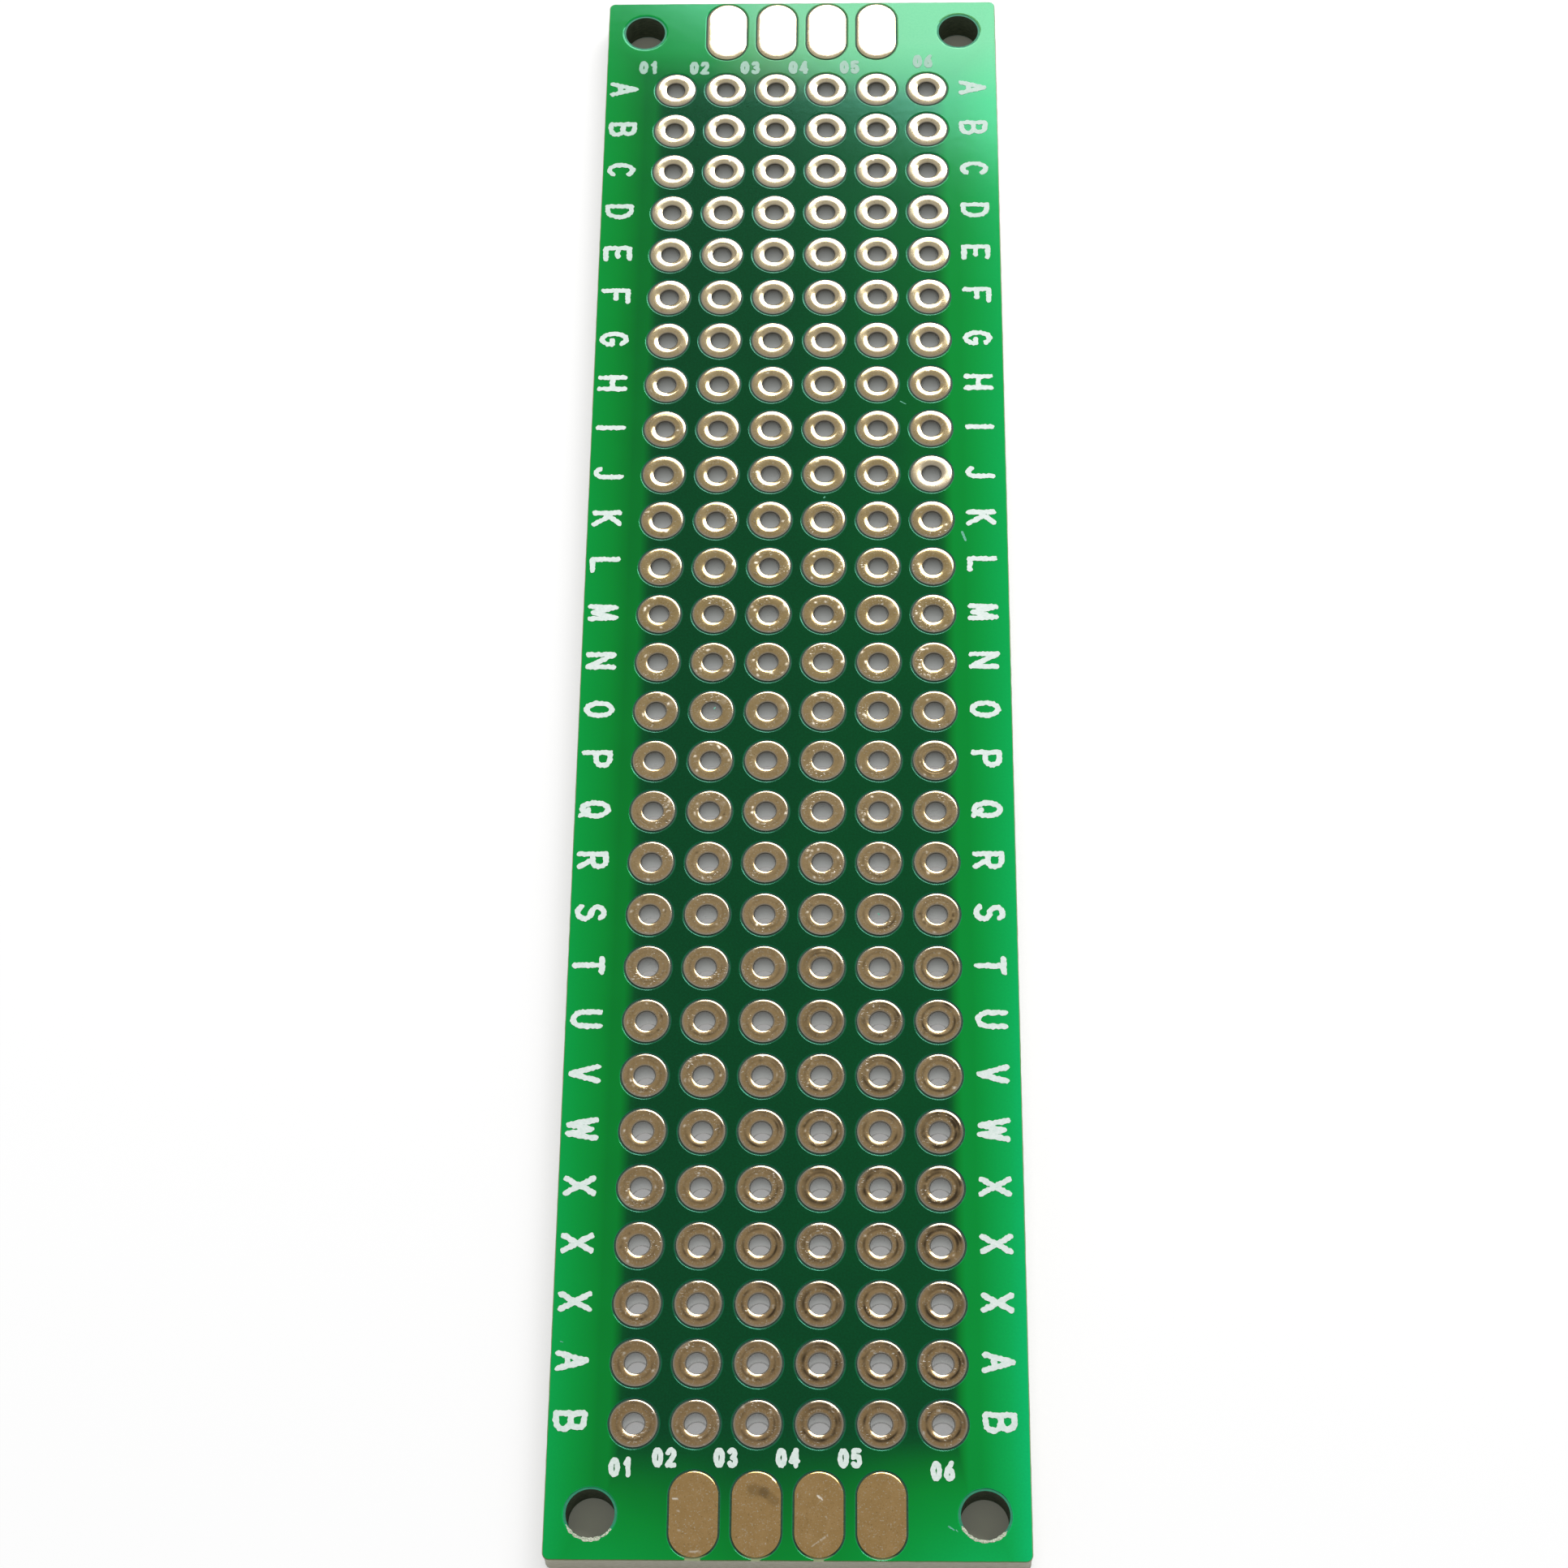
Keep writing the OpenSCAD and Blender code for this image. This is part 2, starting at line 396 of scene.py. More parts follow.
def laminate_material():
    """Glass-epoxy: green where it shows beside the mask, pale at its cut edges, dark in its holes."""
    s = Shader("bare_laminate")
    x = s.add("ShaderNodeSeparateXYZ", s.place)
    y, z = x.node.outputs[1], x.node.outputs[2]
    layered = s.add("ShaderNodeVectorMath", s.place, (1.0, 1.0, 9.0), operation="MULTIPLY")
    fibre = s.noise(0.285, 4.0, layered)
    cut = s.colours(fibre, (0.3, (0.48, 0.46, 0.34)), (0.55, (0.64, 0.62, 0.49)),
                    (0.75, (0.78, 0.76, 0.64)))
    # Painted shade: the walls of the holes are drawn dark olive.
    drilled = s.colours(fibre, (0.3, (0.025, 0.045, 0.025)), (0.75, (0.14, 0.17, 0.10)))
    sideways, lengthways = s.math("ABSOLUTE", x), s.math("ABSOLUTE", y)
    rim = s.math("MAXIMUM", s.between(sideways, BOARD_W / 2 - 0.25, BOARD_W / 2 - 0.05),
                 s.between(lengthways, BOARD_L / 2 - 0.3, BOARD_L / 2 - 0.1))
    half = CORE_TOP - MID_Z
    depth = s.math("ABSOLUTE", s.math("SUBTRACT", z, MID_Z))
    on_face = s.between(depth, half - 0.02, half - 0.005)
    # Painted shade: the bare face in the narrow gaps round the pads is drawn dark green.
    corner = s.math("MULTIPLY", s.between(sideways, 6.6, 6.8), s.between(lengthways, 36.6, 36.8))
    face = s.mix(corner, (0.002, 0.06, 0.03, 1), (0.01, 0.25, 0.13, 1))
    face = s.mix(rim, face, (0.30, 0.36, 0.18, 1))
    base = s.mix(on_face, s.mix(rim, drilled, cut), face)
    s.surface(Base_Color=base, Roughness=0.6, Normal=s.bump(fibre, 0.03))
    return s.material


def damage_material(name, *colours):
    """Mottled pale surface: bare glass fibres at a chipped rim, or a scuff of the mask."""
    s = Shader(name)
    fibre = s.noise(0.06, 3.0)
    base = s.colours(fibre, *zip((0.3, 0.5, 0.7), colours))
    s.surface(Base_Color=base, Roughness=0.6, Normal=s.bump(fibre, 0.01))
    return s.material


def ink_material():
    """White legend ink, thin enough to let a little green through, and thinner still where faint."""
    s = Shader("white_ink")
    patch = s.noise(0.12, 3.0)
    base = s.colours(patch, (0.25, (0.66, 0.80, 0.73)), (0.5, (0.76, 0.86, 0.81)),
                     (0.7, (0.84, 0.91, 0.88)))
    faint = s.add("ShaderNodeAttribute", attribute_name="faint").node.outputs["Fac"]
    s.surface(Base_Color=s.mix(faint, base, (0.08, 0.34, 0.20, 1)), Roughness=0.5)
    s.surface(Normal=s.bump(s.noise(0.07, 2.0), 0.006))
    return s.material


# ---------------------------------------------------------------- core and mask

def hole_distance(x, y):
    """How far a point lies from the middle of the nearest plated hole."""
    nearest_x = min(COLUMN_X, key=lambda c: abs(c - x))
    nearest_y = min(ROW_Y, key=lambda r: abs(r - y))
    return math.hypot(x - nearest_x, y - nearest_y)


# Layers of the core's side walls, and how far they are rough
WALL_LAYERS = 6
WALL_ROUGH = 0.05


def wall_points(vertices, edges):
    """New points of the core's rough side walls between its faces, and their numbers by boundary point.

    The walls behind the barrels get none, because nothing shows them.
    """
    arriving = {b: a for a, b in edges}
    leaving = {a: b for a, b in edges}
    rim = {}
    added = []
    for i in leaving:
        x, y = vertices[i][:2]
        before, after = vertices[arriving[i]], vertices[leaving[i]]
        run = Vector((after[0] - before[0], after[1] - before[1]))
        inwards = Vector((-run.y, run.x)).normalized() if run.length else Vector((0, 0))
        rim[i] = []
        if hole_distance(x, y) < BARREL_R + 0.01:
            continue
        for layer in range(1, WALL_LAYERS):
            z = CORE_BOTTOM + (CORE_TOP - CORE_BOTTOM) * layer / WALL_LAYERS
            move = WALL_ROUGH * (0.5 + 0.5 * smooth_noise(x, y, z * 2, 0.3))
            rim[i].append(len(vertices) + len(added))
            added.append((x + inwards.x * move, y + inwards.y * move, z))
    return rim, added


def core_plate(material):
    """The drilled glass-epoxy core, as a closed plate with rough side walls."""
    outline = plate_points(BOARD_W, BOARD_L, BOARD_CORNER_R, 0.25, 0.03, 5.0)
    cuts = [circle_points(x, y, BARREL_R, 32) for y in ROW_Y for x in COLUMN_X]
    cuts += [circle_points(x, y, CORNER_HOLE_R, 64) for x, y in CORNER_HOLES]
    flat, triangles = flat_mesh(outline, cuts)
    edges = boundary_edges(triangles)
    top = [(x, y, CORE_TOP) for x, y in flat]
    bottom = [(x, y, CORE_BOTTOM) for x, y in flat]
    rim, added = wall_points(top, edges)
    vertices = top + added + bottom
    base = len(top) + len(added)
    faces = triangles + [[base + i for i in reversed(t)] for t in triangles]
    for a, b in edges:
        left = [base + a, *rim[a], a]
        right = [base + b, *rim[b], b]
        for k in range(len(left) - 1):
            faces.append([left[k], right[k], right[k + 1], left[k + 1]])
    add_piece("board_core", vertices, faces, material, ["core"])


def opening_distance(x, y):
    """How far a point of the mask lies from the nearest opening's edge."""
    away = hole_distance(x, y) - PAD_R - MASK_GAP
    straight = EDGE_PAD_L / 2 - EDGE_PAD_R
    for pad_x in EDGE_PAD_X:
        along = max(0.0, abs(abs(y) - EDGE_PAD_Y) - straight)
        away = min(away, math.hypot(x - pad_x, along) - EDGE_PAD_R - MASK_GAP)
    for hole_x, hole_y in CORNER_HOLES:
        away = min(away, math.hypot(x - hole_x, y - hole_y) - CORNER_HOLE_R - MASK_RING)
    return max(0.0, away)


# Width of the mask's rounded lip at its openings
LIP_W = 0.04
# Patches broken out of the mask, as (end of the board, number of the edge pad, width)
CHIPS = [(-1, 0, 0.6), (-1, 1, 0.35), (-1, 2, 0.38)]


def chip_points(end, pad, width):
    """A patch broken out of the thin strip of mask between an edge pad and the end of the board."""
    middle = EDGE_PAD_X[pad]
    far = end * (BOARD_L / 2 + 0.1)
    near = end * (BOARD_L / 2 - 0.2)
    steps = 7
    points = []
    for i in range(steps + 1):
        x = middle + width * (i / steps - 0.5)
        points.append((x + 0.03 * smooth_noise(x, near, 3.0, 0.1), near))
    for i in range(steps, -1, -1):
        x = middle + width * (i / steps - 0.5) * 1.15
        points.append((x, far))
    return points


def mask_film(name, node, side, chips, seed, material, count, shares):
    """One face's mask: a thin closed film whose edge thins to a rounded lip at every opening.

    Side is 1 for the top face and -1 for the lower one. A round opening has count points, and each share
    of LIP_W away from an opening is one more loop.
    """
    hole_r = PAD_R + MASK_GAP
    slot = (EDGE_PAD_R + MASK_GAP, EDGE_PAD_L + 2 * MASK_GAP, 0.12)
    ring_r = CORNER_HOLE_R + MASK_RING
    outline = plate_points(BOARD_W - 2 * MASK_BORDER, BOARD_L - 2 * MASK_BORDER,
                           BOARD_CORNER_R - MASK_BORDER, 0.3, 0.02, seed)
    cuts, rings = [], []
    for y in ROW_Y:
        for x in COLUMN_X:
            cuts.append(circle_points(x, y, hole_r, count, 0.012, seed))
            rings += [circle_points(x, y, hole_r + share * LIP_W, count) for share in shares]
    for end in (-1, 1):
        for x in EDGE_PAD_X:
            cuts.append(slot_points(x, end * EDGE_PAD_Y, *slot))
            rings += [slot_points(x, end * EDGE_PAD_Y, *slot, -share * LIP_W) for share in shares]
    for x, y in CORNER_HOLES:
        cuts.append(circle_points(x, y, ring_r, 64, 0.03, seed))
        # These loops start past the uneven edge, which reaches 0.03 mm further out than its radius
        rings += [circle_points(x, y, ring_r + 0.04 + share * LIP_W, 64) for share in shares]
    cuts += [chip_points(*chip) for chip in chips]
    flat, triangles = flat_mesh(outline, cuts, rings)
    lips = [1 - ramp(opening_distance(x, y), 0.0, LIP_W * 0.98) for x, y in flat]
    top = [(x, y, MASK_T * (1 - 0.5 * lip ** 2)) for (x, y), lip in zip(flat, lips)]
    bottom = [(x, y, 0.0) for x, y in flat]
    faces = closed_faces(triangles, len(flat))
    vertices = [(x, y, MID_Z + side * (CORE_TOP - MID_Z + z)) for x, y, z in top + bottom]
    if side < 0:
        faces = [face[::-1] for face in faces]
    add_piece(name, vertices, faces, material, [node], 50, [("lip", lips + lips)])


# ---------------------------------------------------------------- plated holes

# Steps round a plated hole
SEGMENTS = 44
# Section of a pad from inside its hole to its rim, as (millimetres out from the hole's wall, share of the
# pad's height where much solder lies, the same where little does, how far it counts as inside the hole,
# or below zero as the pad's outer rim)
PAD_SECTION = [
    (0.0, -5.0, -5.0, 1.0), (-0.02, -2.5, -2.5, 1.0), (-0.04, -1.0, -1.0, 1.0),
    (-0.05, -0.3, -0.2, 1.0), (-0.05, 0.0, 0.15, 0.97), (-0.046, 0.12, 0.35, 0.9),
    (-0.035, 0.25, 0.52, 0.75), (-0.015, 0.38, 0.67, 0.5), (0.01, 0.49, 0.78, 0.25),
    (0.04, 0.61, 0.86, 0.1), (0.075, 0.735, 0.91, 0.0), (0.11, 0.85, 0.94, 0.0),
    (0.145, 0.94, 0.963, 0.0), (0.18, 0.985, 0.98, 0.0), (0.22, 1.0, 0.99, 0.0),
    (0.27, 0.985, 0.99, 0.0), (0.32, 0.945, 0.98, 0.0), (0.37, 0.875, 0.955, 0.0),
    (0.41, 0.79, 0.92, -0.2), (0.445, 0.68, 0.865, -0.5), (0.47, 0.565, 0.79, -0.8),
    (0.488, 0.43, 0.66, -1.0), (0.5, 0.25, 0.45, -1.0), (0.5, 0.0, 0.0, -1.0),
]
# The pads below are plainer: every third point, and the rim's foot
UNDERSIDE_SECTION = PAD_SECTION[::3] + PAD_SECTION[-1:]


def dirt(r, angle):
    """Share of painted shade at one place of a pad: a dark band round the hole, and a shade under the far
    right rim.
    """
    band = math.exp(-((r - 0.71) / 0.06) ** 2) * (0.75 + 0.25 * math.cos(angle + 1.2))
    shade = ramp(r, 0.74, 0.84) * (1 - ramp(r, 0.88, 0.94)) * max(0.0, math.cos(angle - 0.9))
    return max(band, 0.8 * shade)


def plated_hole(x, y, seed, flatness, ripples, shade_strength, nicks):
    """One closed revolved part: the barrel through the board and a domed pad on each face.

    It returns the vertices and faces, and for each vertex how far it is inside, and its share of nicks and
    of painted shade.
    """
    section = [(HOLE_R, MID_Z, 0, 1.0)]
    section += [(HOLE_R + out, CORE_TOP + PAD_H * (domed + (flat - domed) * flatness), 1, inside)
                for out, domed, flat, inside in PAD_SECTION]
    section += [(BARREL_R, CORE_TOP, 0, 0.0), (BARREL_R, CORE_BOTTOM, 0, 0.0)]
    section += [(HOLE_R + out, CORE_BOTTOM - PAD_H * domed, -1, inside)
                for out, domed, _, inside in reversed(UNDERSIDE_SECTION)]
    vertices, faces, inner, wear_and_shade = [], [], [], []
    for i in range(SEGMENTS):
        a = 2 * math.pi * i / SEGMENTS
        cosine, sine = math.cos(a), math.sin(a)
        for r, z, side, inside in section:
            height = abs(z - MID_Z) - (CORE_TOP - MID_Z)
            worn_and_shaded = 0.0
            if side and height > 0:
                sag = 0.5 + 0.5 * smooth_noise(x + r * cosine, y + r * sine, seed + side, 0.8)
                dent = 0.5 + 0.5 * smooth_noise(x + r * cosine, y + r * sine, seed + 9 * side, 0.22)
                wave = ripples * 0.05 * (1 + math.cos(2 * math.pi * (r - HOLE_R) / 0.15))
                height *= 1 - 0.10 * sag - 0.03 * dent - wave
                z = MID_Z + side * (CORE_TOP - MID_Z + height)
                worn_and_shaded = sum(strength * (1 - ramp(math.dist((r * cosine, r * sine), spot), 0.4 * size, size))
                           for spot, size, strength in nicks)
                patchy = 0.7 + 0.9 * smooth_noise(x + r * cosine, y + r * sine, seed, 0.4)
                # Painted shade: the troughs of the ripples, a band round the hole and a shade under the far
                # right rim are darkened.
                worn_and_shaded -= (5 * wave + shade_strength * dirt(r, a)) * max(0.0, patchy)
            vertices.append((x + r * cosine, y + r * sine, z))
            inner.append(inside)
            wear_and_shade.append(max(-1.0, min(1.0, worn_and_shaded)))
    count = len(section)
    for i in range(SEGMENTS):
        here, after = i * count, (i + 1) % SEGMENTS * count
        for k in range(count):
            n = (k + 1) % count
            faces.append([here + k, here + n, after + n, after + k])
    return vertices, faces, inner, wear_and_shade


def random_nicks(draw, row, column):
    """Specks, blisters and frosting of one pad's ring, as (place, radius, strength)."""
    nicks = []
    for _ in range(int(draw.random() ** 2 * (9 if row > 9 else 3))):
        a, r = draw.uniform(0, 2 * math.pi), draw.uniform(0.6, 0.93)
        nicks.append(((r * math.cos(a), r * math.sin(a)), 0.08, draw.choice((0.9, 0.8, 0.6, -0.5))))
    if 10 < row < 18 and draw.random() < 0.4:
        a = draw.uniform(0.2, 0.7)
        nicks.append(((0.72 * math.cos(a), 0.72 * math.sin(a)), 0.2, 0.22))
    if (row, column) == (9, 5):
        nicks.append(((0.1, -0.1), 1.4, 0.4))
    return nicks


def plated_rows(material):
    """One piece for each row of plated holes, with more or less solder, nicks and painted shade along the
    board.
    """
    draw = random.Random(11)
    for row, (node, y) in enumerate(zip(ROW_NODES, ROW_Y)):
        vertices, faces, inner, wear_and_shade = [], [], [], []
        for column, x in enumerate(COLUMN_X):
            rippled = draw.random() < (0.6 if row > 18 and column > 2 else 0.06)
            ripples = draw.uniform(0.5, 1) * rippled
            nicks = random_nicks(draw, row, column)
            # How much painted shade a pad gets: none in the far half, more towards the near end and to the
            # right.
            shade_strength = ramp(row, 13, 24) * (0.6 + 0.22 * column) * draw.uniform(0.6, 1.2)
            flatness = (ramp(row, 9, 13) - 0.75 * ramp(row, 18, 23)) * draw.uniform(0.8, 1.0)
            part = plated_hole(x, y, draw.uniform(0, 90), flatness, ripples, shade_strength, nicks)
            add_part(vertices, faces, *part[:2])
            inner += part[2]
            wear_and_shade += part[3]
        add_piece(f"plated_row_{row + 1:02d}", vertices, faces, material, [node], 60,
                  [("inside", inner), ("wear_and_shade", wear_and_shade)])


# ---------------------------------------------------------------- edge pads

# Wear on each near edge pad, as (x, y, x, y, half width, strength): a line from place to place, measured
# from the pad's middle. A positive strength is bright bare metal, and a negative one is dirt.
NEAR_WEAR = [
    [(-0.84, 0.61, -0.64, 0.61, 0.03, 0.9), (-0.74, 0.08, -0.6, 0.09, 0.03, 0.8),
     (-0.62, -0.66, -0.5, -0.68, 0.025, 0.5), (-0.15, -1.55, 0.3, -1.52, 0.035, 0.7)],
    [(-0.15, 1.0, 0.3, 0.9, 0.3, -0.3), (0.3, 0.9, 0.75, 0.52, 0.25, -0.25),
     (0.66, 1.4, 0.78, 1.38, 0.03, 0.9), (0.35, -1.2, 0.42, -1.2, 0.025, 0.6)],
    [(-0.05, 0.75, 0.12, 0.62, 0.05, 1.0), (-0.3, -1.3, 0.35, -0.85, 0.025, 0.6),
     (0.3, -0.1, 0.36, -0.15, 0.02, 0.5)],
    [(0.2, 0.2, 0.24, 0.2, 0.02, 0.5), (-0.35, -0.9, -0.3, -0.9, 0.02, 0.6),
     (0.4, -0.6, 0.42, -0.55, 0.02, 0.4)],
]


def line_distance(x, y, line):
    """How far a point lies from a line of wear."""
    x1, y1, x2, y2 = line[:4]
    run_x, run_y = x2 - x1, y2 - y1
    share = ramp(((x - x1) * run_x + (y - y1) * run_y) / (run_x ** 2 + run_y ** 2), 0.0, 1.0)
    return math.hypot(x - x1 - share * run_x, y - y1 - share * run_y)


# Width of the rounded shoulder round an edge pad's face
SHOULDER_W = 0.21


def edge_pad(x, y, side, seed, wear_lines):
    """One long pad as a closed part with a rounded shoulder and an uneven face."""
    insets = [0.0, 0.0, 0.012, 0.03, 0.06, 0.10, 0.15, SHOULDER_W]
    insets += [0.28 + 0.06 * i for i in range(12)] + [EDGE_PAD_R]
    step = 0.07 if side > 0 else 0.12
    vertices, faces, wear_and_shade = [], [], []
    for ring, inset in enumerate(insets):
        rise = 0.0
        if ring:
            rise = 0.42 + 0.58 * math.sqrt(1 - (1 - ramp(inset, 0, SHOULDER_W)) ** 2)
        for px, py in slot_points(0, 0, EDGE_PAD_R, EDGE_PAD_L, step, inset):
            worn_and_shaded = 0.0
            ragged = 1.0 + 0.5 * smooth_noise(px, py, seed, 0.06)
            for line in wear_lines:
                near = 1 - ramp(line_distance(px, py, line) / line[4], 0.5, ragged)
                worn_and_shaded += line[5] * max(0.0, near)
            uneven = 0.06 * (0.5 + 0.5 * smooth_noise(px, py, seed, 0.9))
            uneven += 0.03 * (0.5 + 0.5 * smooth_noise(px, py, seed, 0.25))
            height = PAD_H * rise * (1 - uneven - 0.12 * max(0.0, worn_and_shaded))
            wear_and_shade.append(max(-1.0, min(1.0, worn_and_shaded)))
            vertices.append((x + px, y + py, MID_Z + side * (CORE_TOP - MID_Z + height)))
    count = len(vertices) // len(insets)
    for ring in range(len(insets) - 1):
        here, after = ring * count, (ring + 1) * count
        for k in range(count):
            n = (k + 1) % count
            faces.append([here + k, here + n, after + n, after + k])
    faces.append(list(range(count))[::-1])
    if side < 0:
        faces = [face[::-1] for face in faces]
    return vertices, faces, wear_and_shade


def edge_pad_group(name, node, end, side, material, wear_table, seed):
    """The long pads of one end and one face, as one piece.

    End is 1 at the far end and -1 at the near one, and side is 1 on top and -1 below.
    """
    vertices, faces, wear_and_shade = [], [], []
    for n, x in enumerate(EDGE_PAD_X):
        lines = wear_table[n] if wear_table else []
        part = edge_pad(x, end * EDGE_PAD_Y, side, seed + 7 * n, lines)
        add_part(vertices, faces, *part[:2])
        wear_and_shade += part[2]
    piece = add_piece(name, vertices, faces, material, [node], 60, [("wear_and_shade", wear_and_shade)])
    merge_close(piece)


def merge_close(piece):
    """Joins points that lie together, such as those along the middle line of a slot."""
    mesh = bmesh.new()
    mesh.from_mesh(piece.data)
    bmesh.ops.remove_doubles(mesh, verts=mesh.verts, dist=0.002 * MM)
    bmesh.ops.dissolve_degenerate(mesh, edges=mesh.edges, dist=0.0005 * MM)
    mesh.to_mesh(piece.data)
    mesh.free()


# ---------------------------------------------------------------- legend

def arc(x, y, rx, ry, start, stop, count=10):
    """Points on an ellipse from one angle to another, in degrees."""
    angles = [math.radians(start + (stop - start) * i / count) for i in range(count + 1)]
    return [(x + rx * math.cos(a), y + ry * math.sin(a)) for a in angles]


# Strokes of each sign in a box that is one unit wide and one unit high
STROKES = {
    "A": [[(0, 0), (0.5, 1), (1, 0)], [(0.2, 0.33), (0.8, 0.33)]],
    "B": [[(0, 0), (0, 1), (0.5, 1), *arc(0.5, 0.76, 0.42, 0.24, 90, -90, 6), (0, 0.52)],
          [(0.5, 0.52), *arc(0.52, 0.26, 0.48, 0.26, 90, -90, 6), (0, 0)]],
    "C": [arc(0.5, 0.5, 0.5, 0.5, 42, 318, 14)],
    "D": [[(0, 0), (0, 1), (0.4, 1), *arc(0.4, 0.5, 0.6, 0.5, 90, -90, 10), (0, 0)]],
    "E": [[(1, 0), (0, 0), (0, 1), (0.95, 1)], [(0, 0.5), (0.75, 0.5)]],
    "F": [[(0, 0), (0, 1), (1, 1)], [(0, 0.5), (0.75, 0.5)]],
    "G": [[*arc(0.5, 0.5, 0.5, 0.5, 42, 330, 14), (0.95, 0.42), (0.58, 0.42)]],
    "H": [[(0, 0), (0, 1)], [(1, 0), (1, 1)], [(0, 0.5), (1, 0.5)]],
    "I": [[(0.5, 0), (0.5, 1)]],
    "J": [[(0.85, 1), *arc(0.5, 0.28, 0.35, 0.28, 0, -150, 7)]],
    "K": [[(0, 0), (0, 1)], [(0.9, 1), (0, 0.4)], [(0.3, 0.6), (0.95, 0)]],
    "L": [[(0, 1), (0, 0), (0.9, 0)]],
    "M": [[(0, 0), (0.08, 1), (0.5, 0.1), (0.92, 1), (1, 0)]],
    "N": [[(0, 0), (0, 1), (1, 0), (1, 1)]],
    "O": [arc(0.5, 0.5, 0.5, 0.5, 0, 360, 18)],
    "P": [[(0, 0), (0, 1), (0.52, 1), *arc(0.52, 0.73, 0.48, 0.27, 90, -90, 7), (0, 0.46)]],
    "Q": [arc(0.5, 0.5, 0.5, 0.5, 0, 360, 18), [(0.55, 0.25), (0.95, -0.04)]],
    "R": [[(0, 0), (0, 1), (0.52, 1), *arc(0.52, 0.74, 0.44, 0.26, 90, -90, 7), (0, 0.48)],
          [(0.45, 0.48), (0.95, 0)]],
    "S": [[*arc(0.52, 0.76, 0.42, 0.24, 30, 250, 9), *arc(0.48, 0.26, 0.48, 0.26, 75, -150, 10)]],
    "T": [[(0, 1), (1, 1)], [(0.5, 0), (0.5, 1)]],
    "U": [[(0, 1), *arc(0.5, 0.36, 0.5, 0.36, 180, 360, 9), (1, 1)]],
    "V": [[(0, 1), (0.5, 0), (1, 1)]],
    "W": [[(0, 1), (0.24, 0), (0.5, 0.85), (0.76, 0), (1, 1)]],
    "X": [[(0, 1), (1, 0)], [(0, 0), (1, 1)]],
    "0": [arc(0.5, 0.5, 0.5, 0.5, 0, 360, 14)],
    "1": [[(0.2, 0.75), (0.6, 1), (0.6, 0)]],
    "2": [[*arc(0.5, 0.72, 0.46, 0.28, 160, -30, 7), (0, 0), (1, 0)]],
    "3": [[*arc(0.45, 0.76, 0.42, 0.24, 150, -80, 7), *arc(0.48, 0.26, 0.48, 0.26, 80, -150, 8)]],
    "4": [[(0.75, 0), (0.75, 1), (0, 0.28), (1, 0.28)]],
    "5": [[(0.9, 1), (0.1, 1), (0.06, 0.55), *arc(0.46, 0.32, 0.5, 0.32, 110, -150, 9)]],
    "6": [[(0.8, 1), (0.2, 0.6), *arc(0.5, 0.3, 0.48, 0.3, 150, -210, 12)]],
}
# Width of a letter's strokes and of a digit's, and the height and width of each sign
INK_W, DIGIT_INK_W = 0.25, 0.21
LETTER_H, LETTER_W, WIDE_LETTER_W = 1.42, 0.90, 1.06
DIGIT_H, DIGIT_W = 0.84, 0.47
# How far a digit lies from the middle of its number
DIGIT_SHIFT = 0.27
# How far the ink sinks into the mask, and how far it stands out of it
INK_SINK, INK_RISE = 0.002, 0.012
ROW_SIGNS = "ABCDEFGHIJKLMNOPQRSTUVWXXXAB"
LEFT_LETTERS_X, RIGHT_LETTERS_X = -8.96, 8.66
# How far the row letters lie towards the far end from the middles of their rows
LETTER_SHIFT = 0.075
# Middles of the column numbers at the near and the far end
NEAR_NUMBERS = [(-6.81, -36.11), (-5.05, -35.70), (-2.54, -35.70),
                (-0.01, -35.70), (2.52, -35.70), (6.30, -36.21)]
FAR_NUMBERS = [(-7.75, 35.75), (-5.18, 35.70), (-2.60, 35.70),
               (-0.15, 35.70), (2.45, 35.70), (6.17, 36.05)]
# Length of a step along a stroke's ragged side, and how ragged a letter's stroke is
STROKE_STEP = 0.05
STROKE_ROUGH = 0.42


def capsule_points(start, stop, r, seed, roughness=STROKE_ROUGH):
    """Outline of a stroke with round ends and ragged sides."""
    run = Vector(stop) - Vector(start)
    length = run.length
    along = run.normalized() if length else Vector((1, 0))
    side = Vector((-along.y, along.x))
    steps = max(1, round(length / STROKE_STEP))
    stations = [length * i / steps for i in range(steps + 1)]
    turns = [math.pi * i / 8 for i in range(1, 8)]
    outline = [(t, -r) for t in stations]
    outline += [(length + r * math.sin(a), -r * math.cos(a)) for a in turns]
    outline += [(t, r) for t in reversed(stations)]
    outline += [(-r * math.sin(a), r * math.cos(a)) for a in turns]
    points = []
    for t, s in outline:
        p = Vector(start) + along * t + side * s
        ragged = 1 + roughness * smooth_noise(p.x, p.y, seed, 0.12)
        centre = Vector(start) + along * min(length, max(0.0, t))
        points.append(tuple(centre + (p - centre) * ragged))
    return points


def joined_film(outlines, low, high):
    """Thin closed film, between two heights, of the one shape that overlapping outlines cover together."""
    flat, triangles = triangulate(outlines, 1e-6, bool)
    vertices = [(x, y, z) for z in (high, low) for x, y in flat]
    return vertices, closed_faces(triangles, len(flat))


def sign_outlines(sign, place, width, height, ink_w, turned, seed):
    """Outlines of one sign's strokes, which lies a quarter turn round where it is turned."""
    outlines = []
    w, h = width - ink_w, height - ink_w
    roughness = STROKE_ROUGH * (ink_w / INK_W) ** 2
    for stroke in STROKES[sign]:
        points = [((u - 0.5) * w, (v - 0.5) * h) for u, v in stroke]
        if turned:
            points = [(v, -u) for u, v in points]
        points = [(place[0] + px, place[1] + py) for px, py in points]
        for start, stop in zip(points, points[1:]):
            if math.dist(start, stop) > 1e-4:
                outlines.append(capsule_points(start, stop, ink_w / 2, seed, roughness))
    return outlines


